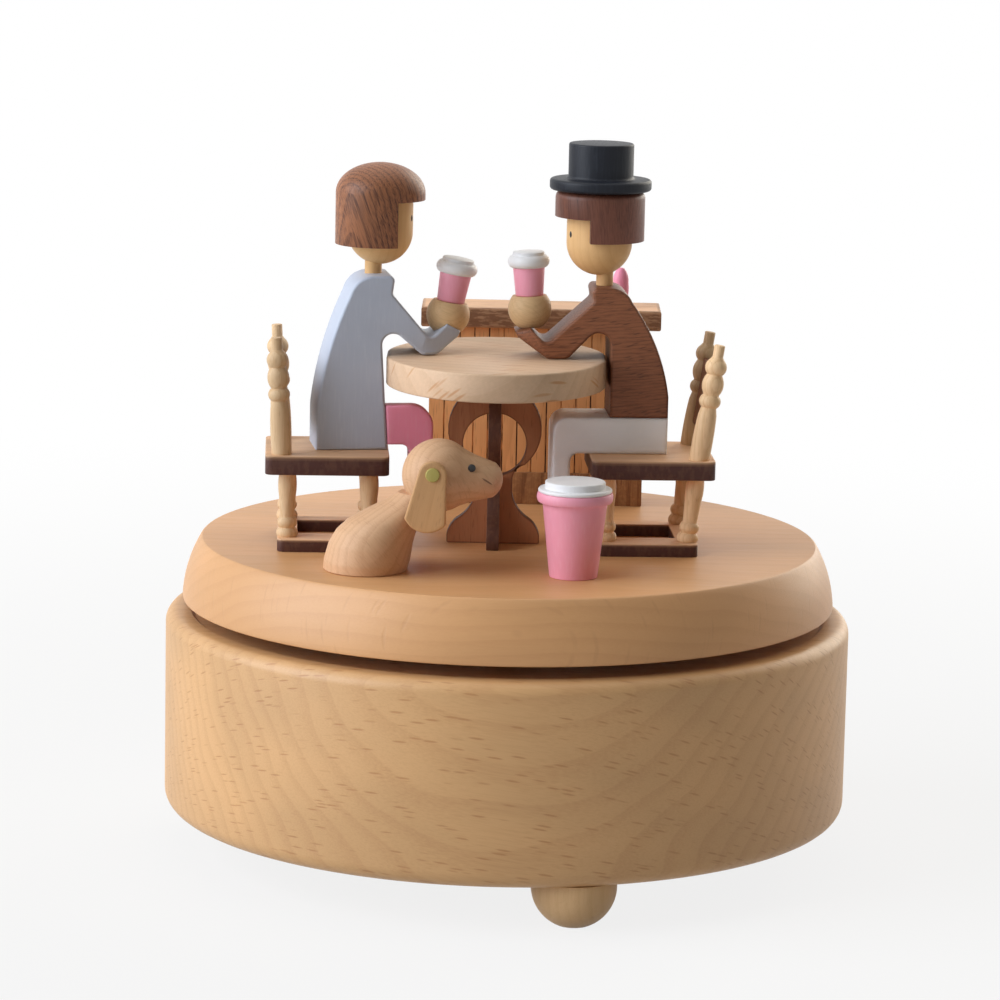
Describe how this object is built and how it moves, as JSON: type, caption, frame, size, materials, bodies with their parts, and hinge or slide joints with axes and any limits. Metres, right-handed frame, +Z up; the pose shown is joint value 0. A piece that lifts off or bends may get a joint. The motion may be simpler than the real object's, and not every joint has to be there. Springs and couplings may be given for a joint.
{
  "type": "music box",
  "caption": "Wind-up wooden music box: a turned drum on ball feet carries a rotating round platform with a cafe scene of seated figures, table, chairs, counter, dog and cups",
  "frame": {"origin": "on the drum's axis, at the level of the flats under the ball feet", "axes": "+X to the right seen from the front, +Y to the back, +Z up along the drum's axis"},
  "size_m": [0.11, 0.11, 0.1151],
  "materials": {
    "beech": "satin",
    "plywood": "matte",
    "walnut": "satin",
    "dark_board": "matte",
    "counter_wood": "satin",
    "pale_turning": "satin",
    "grey_paint": "matte",
    "pink_paint": "matte",
    "white_paint": "matte",
    "black_paint": "satin",
    "brown_board": "matte",
    "green_dowel": "matte",
    "steel": "satin",
    "brass": "satin",
    "cast_plate": "satin"
  },
  "bodies": {
    "base": {"drum": "beech", "bottom_cover": "plywood", "ball_feet": "beech", "base_screws": "steel", "bedplate": "cast_plate", "spring_housing": "steel", "mainspring": "steel", "comb": "steel", "comb_screws": "steel"},
    "turntable": {"winding_arbor": "steel", "drive_gear": "brass", "turntable_flange": "steel", "flange_screws": "steel", "platform": "beech", "table_top": "beech", "pedestal_side_board": "dark_board", "pedestal_front_board": "dark_board", "left_chair_frame": "beech", "left_chair_seat": "beech", "left_chair_legs": "pale_turning", "left_chair_posts": "pale_turning", "left_chair_slat": "walnut", "right_chair_frame": "beech", "right_chair_seat": "beech", "right_chair_legs": "pale_turning", "right_chair_posts": "pale_turning", "right_chair_slat": "walnut", "woman_torso": "grey_paint", "woman_legs": "pink_paint", "woman_neck": "pale_turning", "woman_head": "pale_turning", "woman_hair": "walnut", "woman_hand": "pale_turning", "woman_cup": "pink_paint", "woman_cup_lid": "white_paint", "man_torso": "walnut", "man_legs": "white_paint", "man_neck": "pale_turning", "man_head": "pale_turning", "man_hair": "walnut", "man_hat": "black_paint", "man_hand": "pale_turning", "man_cup": "pink_paint", "man_cup_lid": "white_paint", "takeaway_cup": "pink_paint", "takeaway_cup_lid": "white_paint", "counter_plinth": "walnut", "counter_panel": "counter_wood", "counter_top": "counter_wood", "counter_peg": "pink_paint", "dog_body": "pale_turning", "dog_head": "pale_turning", "dog_ears": "brown_board", "dog_ear_pin": "green_dowel"},
    "cylinder_body": {"cylinder": "brass", "cylinder_gear": "brass", "cylinder_pinion": "steel"},
    "governor_body": {"governor_wheel": "brass"},
    "worm_body": {"governor_worm": "brass"}
  },
  "joints": [
    {"name": "turntable_spin", "type": "hinge", "parent": "base", "child": "turntable", "pos_m": [0, 0, 0], "axis": [0, 0, 1], "continuous": true},
    {"name": "cylinder_spin", "type": "hinge", "parent": "base", "child": "cylinder_body", "pos_m": [0.0203, 0, 0.0234], "axis": [1, 0, 0], "continuous": true},
    {"name": "governor_spin", "type": "hinge", "parent": "base", "child": "governor_body", "pos_m": [0.029, 0.009, 0.0234], "axis": [1, 0, 0], "continuous": true},
    {"name": "worm_spin", "type": "hinge", "parent": "base", "child": "worm_body", "pos_m": [0.0298, 0.00285, 0.0234], "axis": [0, 0, 1], "continuous": true}
  ],
  "couplings": [
    {"joint": "cylinder_spin", "follows": "turntable_spin", "ratio": 4},
    {"joint": "governor_spin", "follows": "turntable_spin", "ratio": -16},
    {"joint": "worm_spin", "follows": "turntable_spin", "ratio": -384}
  ]
}
